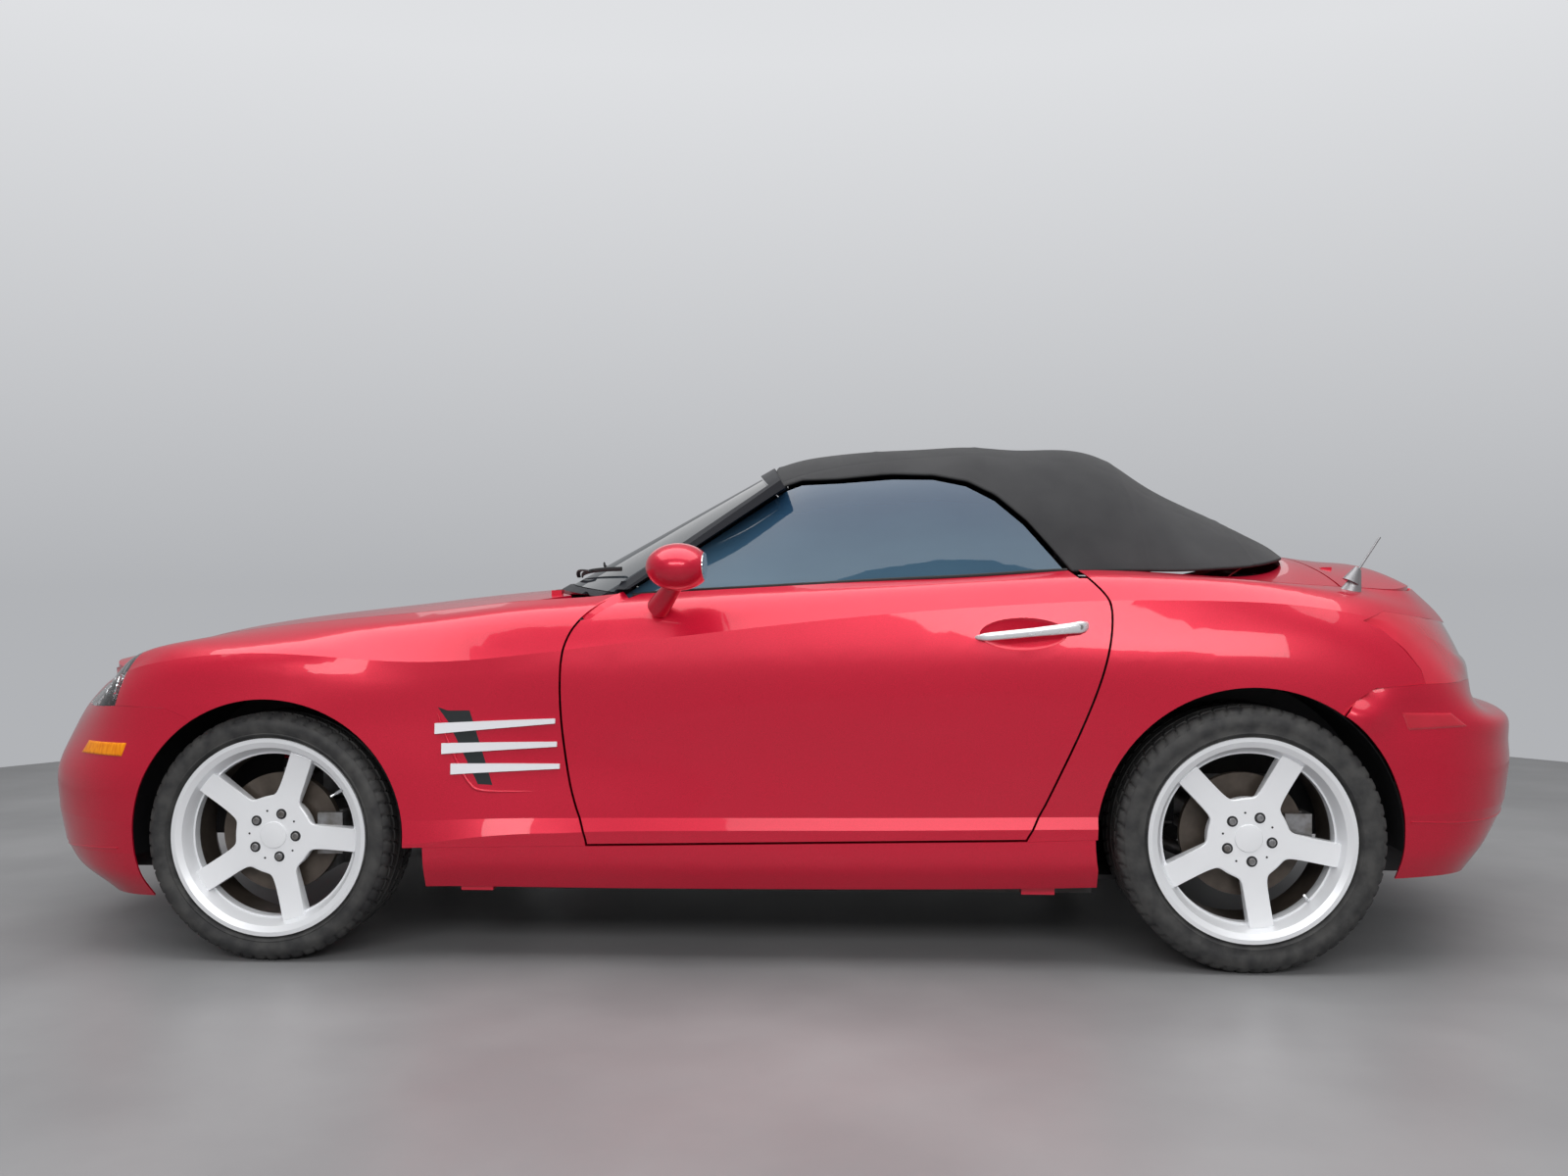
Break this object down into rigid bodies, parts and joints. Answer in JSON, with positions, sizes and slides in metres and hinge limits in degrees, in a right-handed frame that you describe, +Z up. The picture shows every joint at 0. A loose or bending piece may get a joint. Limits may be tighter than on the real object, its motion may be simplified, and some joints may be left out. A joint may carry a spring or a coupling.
{
  "type": "two-seat convertible car",
  "caption": "Low two-seat roadster with fabric soft top raised, opening doors, hood and trunk lid, steered front wheels.",
  "frame": {"origin": "centre of the car's bounding box, on the ground", "axes": "-X towards the nose, +X towards the tail, +Y the car's right side, +Z up"},
  "size_m": [4.0578, 2.0472, 1.3163],
  "materials": {
    "red_paint": "metallic clearcoat",
    "black_trim": "satin",
    "lamp_lens": "polished",
    "red_lens": "polished",
    "canvas": "woven",
    "glass": "tinted",
    "tyre": "matte",
    "silver": "bright",
    "steel": "satin",
    "iron": "rough",
    "frame_paint": "satin",
    "leather": "satin"
  },
  "bodies": {
    "chassis": {"front_bumper": "red_paint", "front_fenders": "red_paint", "sills": "red_paint", "quarter_panels": "red_paint", "rear_bumper": "red_paint", "tonneau_cover": "red_paint", "grilles": "black_trim", "windshield_frame": "black_trim", "wheel_liners": "black_trim", "dashboard": "black_trim", "headlamps": "lamp_lens", "tail_lamps": "red_lens", "soft_top": "canvas", "rear_window": "glass", "windshield_glass": "glass", "fender_vents": "silver", "front_suspension": "steel", "rear_suspension": "steel", "exhaust": "steel", "antenna": "steel", "engine_block": "iron", "floor_pan": "frame_paint", "firewall": "frame_paint", "side_frames": "frame_paint", "boot_tub": "frame_paint", "seats": "leather"},
    "hood": {"hood": "red_paint"},
    "trunk_lid": {"trunk_lid": "red_paint"},
    "door_left": {"door_left": "red_paint", "door_glass_left": "glass", "door_mirror_left": "red_paint"},
    "door_right": {"door_right": "red_paint", "door_glass_right": "glass", "door_mirror_right": "red_paint"},
    "knuckle_left": {"knuckle_left": "steel"},
    "knuckle_right": {"knuckle_right": "steel"},
    "steering_wheel": {"steering_wheel": "black_trim"},
    "wheel_front_left": {"tyre_front_left": "tyre", "rim_front_left": "silver"},
    "wheel_front_right": {"tyre_front_right": "tyre", "rim_front_right": "silver"},
    "wheel_rear_left": {"tyre_rear_left": "tyre", "rim_rear_left": "silver"},
    "wheel_rear_right": {"tyre_rear_right": "tyre", "rim_rear_right": "silver"}
  },
  "joints": [
    {"name": "door_left_swing", "type": "hinge", "parent": "chassis", "child": "door_left", "pos_m": [-0.559, -0.8, 0.58], "axis": [0, 0, -1], "range_deg": [0, 65]},
    {"name": "door_right_swing", "type": "hinge", "parent": "chassis", "child": "door_right", "pos_m": [-0.559, 0.8, 0.58], "axis": [0, 0, 1], "range_deg": [0, 65]},
    {"name": "hood_lift", "type": "hinge", "parent": "chassis", "child": "hood", "pos_m": [-0.505, 0, 0.866], "axis": [0, 1, 0], "range_deg": [0, 55]},
    {"name": "trunk_lift", "type": "hinge", "parent": "chassis", "child": "trunk_lid", "pos_m": [1.296, 0, 0.946], "axis": [0, -1, 0], "range_deg": [0, 65]},
    {"name": "steer_left", "type": "hinge", "parent": "chassis", "child": "knuckle_left", "pos_m": [-1.239, -0.675, 0.308], "axis": [0, 0, 1], "range_deg": [-33, 33]},
    {"name": "steer_right", "type": "hinge", "parent": "chassis", "child": "knuckle_right", "pos_m": [-1.239, 0.675, 0.308], "axis": [0, 0, 1], "range_deg": [-33, 33]},
    {"name": "steering_wheel_turn", "type": "hinge", "parent": "chassis", "child": "steering_wheel", "pos_m": [-0.07, -0.37, 0.79], "axis": [0.9135, 0, 0.4067], "range_deg": [-462, 462]},
    {"name": "front_left_roll", "type": "hinge", "parent": "knuckle_left", "child": "wheel_front_left", "pos_m": [-1.239, -0.7465, 0.308], "axis": [0, 1, 0], "continuous": true},
    {"name": "front_right_roll", "type": "hinge", "parent": "knuckle_right", "child": "wheel_front_right", "pos_m": [-1.239, 0.7465, 0.308], "axis": [0, 1, 0], "continuous": true},
    {"name": "rear_left_roll", "type": "hinge", "parent": "chassis", "child": "wheel_rear_left", "pos_m": [1.161, -0.751, 0.318], "axis": [0, 1, 0], "continuous": true},
    {"name": "rear_right_roll", "type": "hinge", "parent": "chassis", "child": "wheel_rear_right", "pos_m": [1.161, 0.751, 0.318], "axis": [0, 1, 0], "continuous": true}
  ],
  "couplings": [
    {"joint": "steer_right", "follows": "steer_left", "ratio": 1},
    {"joint": "steering_wheel_turn", "follows": "steer_left", "ratio": 14}
  ]
}
